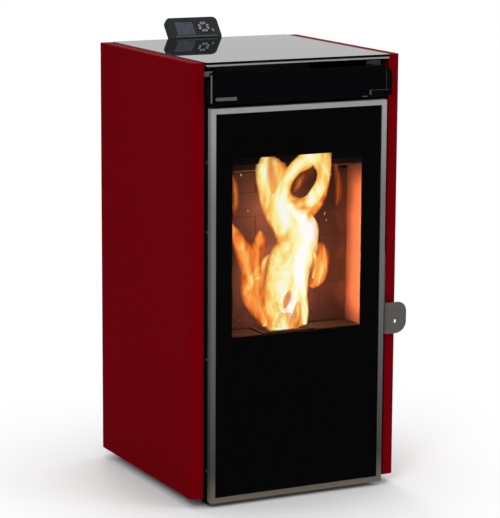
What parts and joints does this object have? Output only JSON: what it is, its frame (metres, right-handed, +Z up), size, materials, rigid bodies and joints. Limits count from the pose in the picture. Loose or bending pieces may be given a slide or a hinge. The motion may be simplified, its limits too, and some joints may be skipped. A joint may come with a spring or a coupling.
{
  "type": "pellet stove",
  "caption": "Free-standing pellet stove with painted side panels, a glazed fire door, a lifting glass lid over its hopper, and a tilted control display.",
  "frame": {"origin": "middle of the bounding box, on the floor under the feet", "axes": "+Z up, +X to the right as seen from in front, +Y to the back; the fire door faces -Y"},
  "size_m": [0.4842, 0.5296, 0.9426],
  "materials": {
    "red_paint": "deep red powder coat, satin gloss",
    "black_paint": "matt black stove paint",
    "black_enamel": "high-gloss black enamel",
    "silver_paint": "fine metallic silver-grey paint",
    "fire_steel": "heat-browned steel plate",
    "zinc_sheet": "dull zinc-plated sheet steel",
    "stainless": "fine-brushed stainless steel",
    "cast_iron": "raw casting with ash dust",
    "fire_brick": "vermiculite board moulded as brickwork, sooted",
    "rope_seal": "braided glass-fibre rope",
    "top_glass": "black tempered glass, polished",
    "door_glass": "clear ceramic glass with a black printed border",
    "black_plastic": "moulded black plastic, fine grain",
    "screen_plastic": "smoked display window",
    "key_plastic": "dark keys with a light mark",
    "board_green": "circuit board with solder mask",
    "rubber": "black moulded rubber"
  },
  "bodies": {
    "cabinet": {"base_plate": "black_paint", "foot_front_left": "rubber", "foot_front_right": "rubber", "foot_rear_left": "rubber", "foot_rear_right": "rubber", "left_side_panel": "red_paint", "right_side_panel": "red_paint", "rear_panel": "black_paint", "top_frame": "silver_paint", "outlet_bar": "black_enamel", "air_outlet_duct": "black_paint", "front_plate": "black_paint", "combustion_chamber": "fire_steel", "refractory_back": "fire_brick", "refractory_left": "fire_brick", "refractory_right": "fire_brick", "flame_baffle": "fire_brick", "pot_support": "cast_iron", "ash_drawer": "stainless", "heat_exchanger": "fire_steel", "igniter": "stainless", "hopper": "zinc_sheet", "auger_tube": "zinc_sheet", "auger_motor": "black_paint", "pellet_chute": "zinc_sheet", "smoke_duct": "fire_steel", "smoke_fan_housing": "zinc_sheet", "smoke_fan_motor": "black_paint", "flue_collar": "zinc_sheet", "air_intake_pipe": "zinc_sheet", "room_fan_housing": "zinc_sheet", "room_fan_motor": "black_paint", "control_board": "board_green", "mains_inlet": "black_plastic", "hinge_bracket_top": "zinc_sheet", "hinge_bracket_bottom": "zinc_sheet", "latch_striker": "zinc_sheet", "lid_hinge_left": "zinc_sheet", "lid_hinge_right": "zinc_sheet", "display_housing": "black_plastic", "display_screen": "screen_plastic", "display_bracket": "black_paint"},
    "door": {"door_frame": "silver_paint", "door_glass": "door_glass", "door_inner_panel": "black_paint", "door_gasket": "rope_seal", "latch_bracket": "zinc_sheet"},
    "latch": {"latch_lever": "stainless"},
    "lid": {"top_plate": "top_glass", "lid_frame": "black_paint"},
    "pot": {"burn_pot": "cast_iron"},
    "auger": {"auger_screw": "stainless"},
    "smoke_wheel": {"smoke_fan_wheel": "stainless"},
    "room_wheel": {"room_fan_wheel": "zinc_sheet"},
    "button_right": {"key_right": "key_plastic"},
    "button_up": {"key_up": "key_plastic"},
    "button_left": {"key_left": "key_plastic"},
    "button_down": {"key_down": "key_plastic"},
    "rocker": {"rocker_switch": "black_plastic"},
    "reset": {"reset_button": "black_plastic"}
  },
  "joints": [
    {"name": "door_hinge", "type": "hinge", "parent": "cabinet", "child": "door", "pos_m": [-0.19795, -0.23825, 0.41], "axis": [0, 0, -1], "range_deg": [0, 100]},
    {"name": "latch_hinge", "type": "hinge", "parent": "door", "child": "latch", "pos_m": [0.19325, -0.23525, 0.411], "axis": [0, 0, -1], "range_deg": [0, 12]},
    {"name": "lid_hinge", "type": "hinge", "parent": "cabinet", "child": "lid", "pos_m": [-0.00795, 0.21175, 0.894], "axis": [-1, 0, 0], "range_deg": [0, 65]},
    {"name": "pot_lift", "type": "slide", "parent": "cabinet", "child": "pot", "axis": [0, 0, 1], "range_m": [0, 0.06]},
    {"name": "auger_spin", "type": "hinge", "parent": "cabinet", "child": "auger", "pos_m": [-0.00795, 0.15225, 0.247], "axis": [0, -0.5, 0.866], "continuous": true},
    {"name": "smoke_fan_spin", "type": "hinge", "parent": "cabinet", "child": "smoke_wheel", "pos_m": [0.10705, -0.06025, 0.135], "axis": [0, 1, 0], "continuous": true},
    {"name": "room_fan_spin", "type": "hinge", "parent": "cabinet", "child": "room_wheel", "pos_m": [-0.13895, 0.09975, 0.071], "axis": [1, 0, 0], "continuous": true},
    {"name": "key_right_press", "type": "slide", "parent": "cabinet", "child": "button_right", "axis": [0, 0.7771, -0.6293], "range_m": [0, 0.0008], "stiffness_N_per_m": 500},
    {"name": "key_up_press", "type": "slide", "parent": "cabinet", "child": "button_up", "axis": [0, 0.7771, -0.6293], "range_m": [0, 0.0008], "stiffness_N_per_m": 500},
    {"name": "key_left_press", "type": "slide", "parent": "cabinet", "child": "button_left", "axis": [0, 0.7771, -0.6293], "range_m": [0, 0.0008], "stiffness_N_per_m": 500},
    {"name": "key_down_press", "type": "slide", "parent": "cabinet", "child": "button_down", "axis": [0, 0.7771, -0.6293], "range_m": [0, 0.0008], "stiffness_N_per_m": 500},
    {"name": "rocker_tilt", "type": "hinge", "parent": "cabinet", "child": "rocker", "pos_m": [-0.17295, 0.20975, 0.096], "axis": [-1, 0, 0], "range_deg": [0, 14]},
    {"name": "reset_press", "type": "slide", "parent": "cabinet", "child": "reset", "axis": [0, -1, 0], "range_m": [0, 0.0025], "stiffness_N_per_m": 300}
  ]
}
